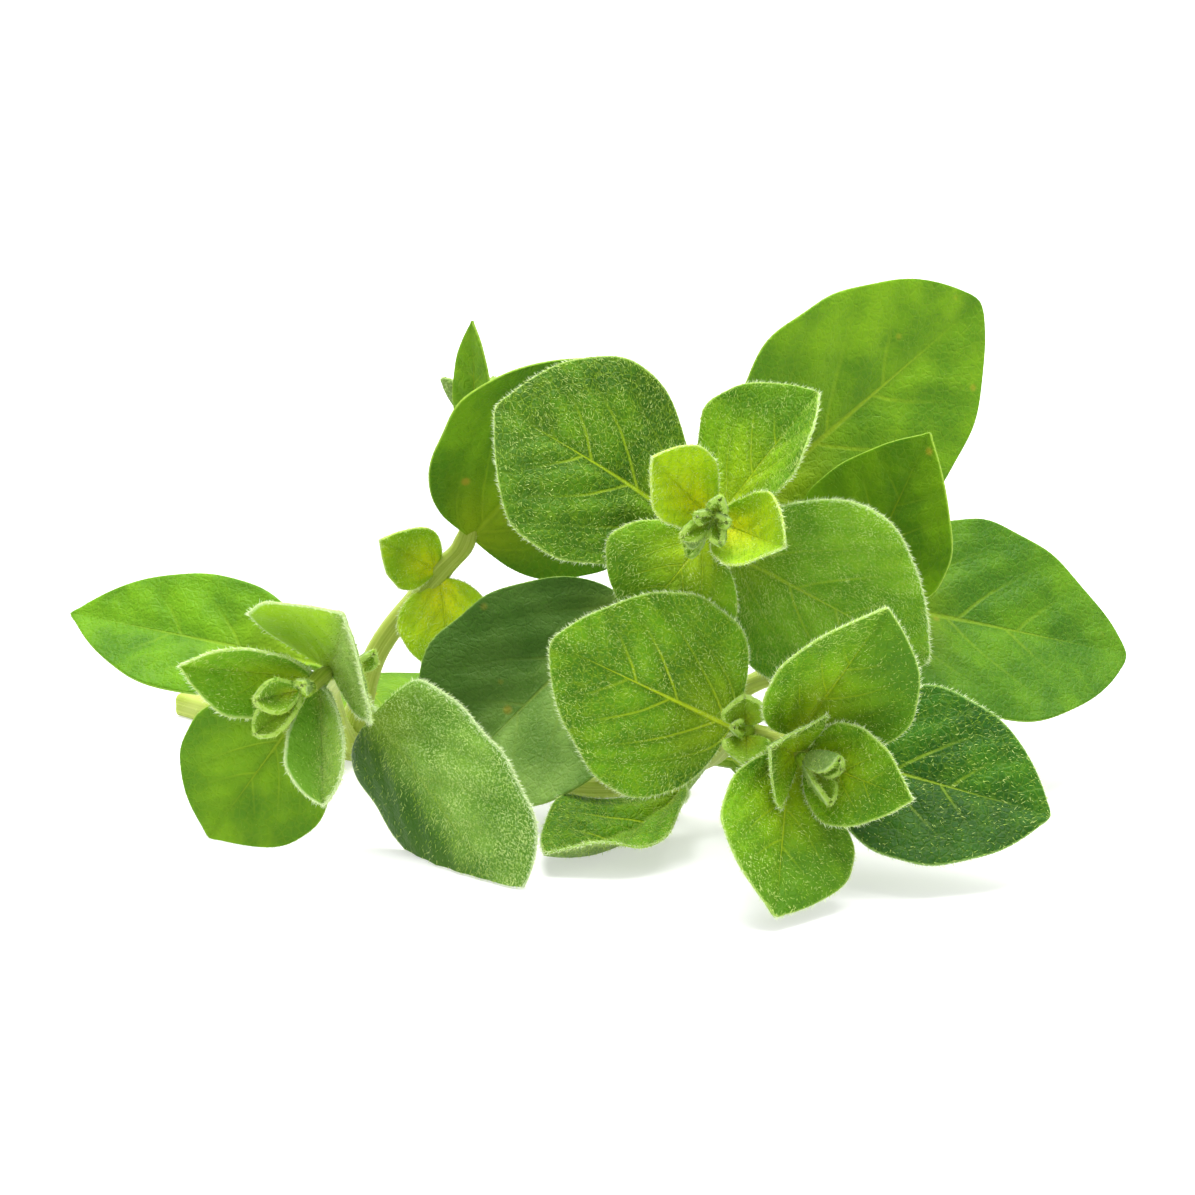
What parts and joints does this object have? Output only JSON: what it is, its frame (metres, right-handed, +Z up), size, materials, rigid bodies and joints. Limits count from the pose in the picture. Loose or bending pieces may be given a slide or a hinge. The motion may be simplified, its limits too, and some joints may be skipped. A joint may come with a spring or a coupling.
{
  "type": "oregano plant cutting",
  "caption": "Freshly cut leafy top of an oregano plant lying on a surface: a branched square stem with opposite pairs of broad oval leaves and small folded leaves at the shoot tips.",
  "frame": {"origin": "on the surface it lies on, under the middle of its outline seen from above", "axes": "+Z up from the surface; +Y from the front shoots towards the cut end's side; +X along its width, away from the cut end"},
  "size_m": [0.1242, 0.0826, 0.0586],
  "materials": {
    "leaf": "fresh hairy leaf",
    "young_leaf": "fresh young leaf",
    "stem": "fresh hairy green stem"
  },
  "bodies": {
    "root": {"main_stem": "stem", "centre_stem": "stem", "left_stem": "stem", "back_left_stem": "stem", "back_stem": "stem", "centre_tip": "young_leaf", "front_tip": "young_leaf", "left_tip": "young_leaf", "centre_axil": "young_leaf", "front_axil": "young_leaf", "left_axil": "young_leaf", "back_left_tip": "young_leaf", "back_tip": "young_leaf", "centre_leaf_0_lower": "leaf", "centre_leaf_0_upper": "leaf", "centre_leaf_1_left": "leaf", "centre_leaf_1_right": "leaf", "centre_leaf_2_upper": "leaf", "centre_leaf_2_lower": "leaf", "centre_leaf_3_left": "leaf", "centre_leaf_3_right": "leaf", "front_leaf_1_left": "leaf", "front_leaf_1_right": "leaf", "front_leaf_2_upper": "leaf", "front_leaf_2_lower": "leaf", "front_leaf_3_left": "leaf", "front_leaf_3_right": "leaf", "left_leaf_1_left": "leaf", "left_leaf_1_right": "leaf", "left_leaf_2_upper": "leaf", "left_leaf_2_lower": "leaf", "left_leaf_3_left": "leaf", "left_leaf_3_lower": "leaf", "back_left_leaf_0_left": "young_leaf", "back_left_leaf_0_lower": "young_leaf", "back_left_leaf_1_right": "leaf", "back_left_leaf_1_back": "leaf", "back_left_leaf_2_upper": "leaf", "back_left_leaf_2_back": "leaf", "back_leaf_1_lower": "leaf", "back_leaf_1_upper": "leaf", "main_leaf_front": "leaf", "main_leaf_right": "leaf", "main_leaf_back": "leaf", "main_leaf_far": "leaf"}
  },
  "joints": []
}
